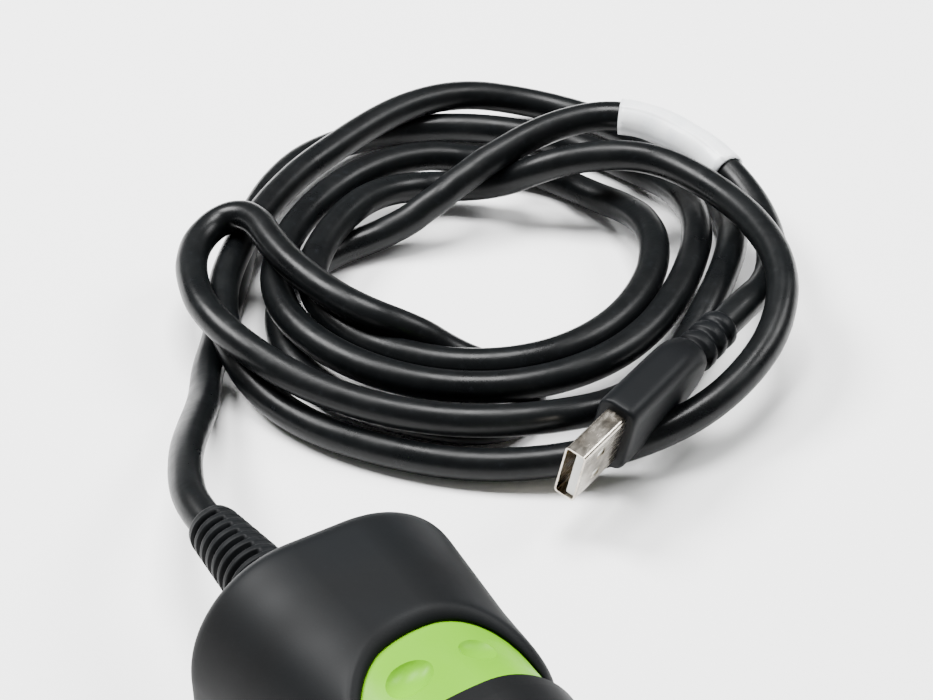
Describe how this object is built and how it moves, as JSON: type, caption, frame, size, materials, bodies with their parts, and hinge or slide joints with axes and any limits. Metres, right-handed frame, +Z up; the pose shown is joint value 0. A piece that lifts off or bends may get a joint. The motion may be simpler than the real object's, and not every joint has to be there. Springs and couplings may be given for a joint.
{
  "type": "handheld barcode scanner",
  "caption": "Rugged corded barcode scanner lying on its side: lime shells, charcoal rubber bumpers and grip, trigger, slotted strain relief, coiled lead with a flat computer plug.",
  "frame": {"origin": "on the surface the scanner lies on, under the middle of the scanner's own box without its lead", "axes": "+Y from the head towards the handle's foot and the lead, +X towards the scanning nose, +Z up out of the surface, through the scanner's left side"},
  "size_m": [0.2185, 0.354, 0.0741],
  "materials": {
    "lime_shell": "satin",
    "charcoal_rubber": "matte",
    "seal_rubber": "matte",
    "smoked_window": "polished",
    "trigger_plastic": "satin",
    "steel": "bright",
    "switch_plastic": "matte",
    "plunger_plastic": "satin",
    "circuit_board": "satin",
    "chip_plastic": "matte",
    "engine_alloy": "die cast",
    "black_alloy": "black anodised",
    "optic_glass": "polished",
    "led_plastic": "gloss",
    "flex_film": "gloss",
    "light_pipe": "frosted",
    "weight_alloy": "sintered",
    "cord_jacket": "satin",
    "clear_plug": "gloss",
    "nickel_shell": "nickel plated",
    "gold_contact": "gold flash",
    "plug_insulator": "satin",
    "label_paper": "laminated"
  },
  "bodies": {
    "scanner": {"left_housing": "lime_shell", "right_housing": "lime_shell", "parting_seal": "seal_rubber", "handle_screws": "steel", "head_screws": "steel", "foot_boot": "charcoal_rubber", "grip_sleeve": "charcoal_rubber", "nose_bumper": "charcoal_rubber", "rear_bumper": "charcoal_rubber", "exit_window": "smoked_window", "window_seal": "seal_rubber", "engine_chassis": "engine_alloy", "lens_barrel": "black_alloy", "camera_lens": "optic_glass", "image_sensor": "chip_plastic", "illumination_leds": "led_plastic", "aiming_lens": "optic_glass", "main_board": "circuit_board", "board_components": "chip_plastic", "handle_board": "circuit_board", "engine_flex": "flex_film", "beeper": "switch_plastic", "status_lens": "light_pipe", "status_led": "led_plastic", "trigger_pin": "steel", "switch_body": "switch_plastic", "trigger_spring": "steel", "vibration_motor": "steel", "motor_cradle": "switch_plastic", "cord_socket": "switch_plastic", "cord_plug_body": "clear_plug", "cord_boot": "cord_jacket", "port_seal": "seal_rubber", "usb_shell": "nickel_shell", "usb_insulator": "plug_insulator", "usb_contacts": "gold_contact", "usb_overmould": "cord_jacket", "usb_strain_relief": "cord_jacket", "cord_lead": "cord_jacket", "cord_coil": "cord_jacket", "cord_label": "label_paper"},
    "trigger": {"trigger": "trigger_plastic"},
    "plunger": {"switch_plunger": "plunger_plastic"},
    "weight": {"vibration_weight": "weight_alloy"}
  },
  "joints": [
    {"name": "trigger_pull", "type": "hinge", "parent": "scanner", "child": "trigger", "pos_m": [-0.00319, -0.0175, 0.03435], "axis": [0.0124, 0.0825, 0.9965], "range_deg": [0, 8], "stiffness_Nm_per_rad": 0.3, "springref_deg": -8.59, "deforming": ["trigger_spring"]},
    {"name": "plunger_press", "type": "slide", "parent": "scanner", "child": "plunger", "axis": [-0.9999, 0.0005, 0.0124], "range_m": [0, 0.0012]},
    {"name": "weight_spin", "type": "hinge", "parent": "scanner", "child": "weight", "pos_m": [-0.00822, 0.04628, 0.02913], "axis": [0.0005, -0.9966, 0.0825], "continuous": true}
  ],
  "couplings": [
    {"joint": "plunger_press", "follows": "trigger_pull", "m_per_rad": 0.008}
  ]
}
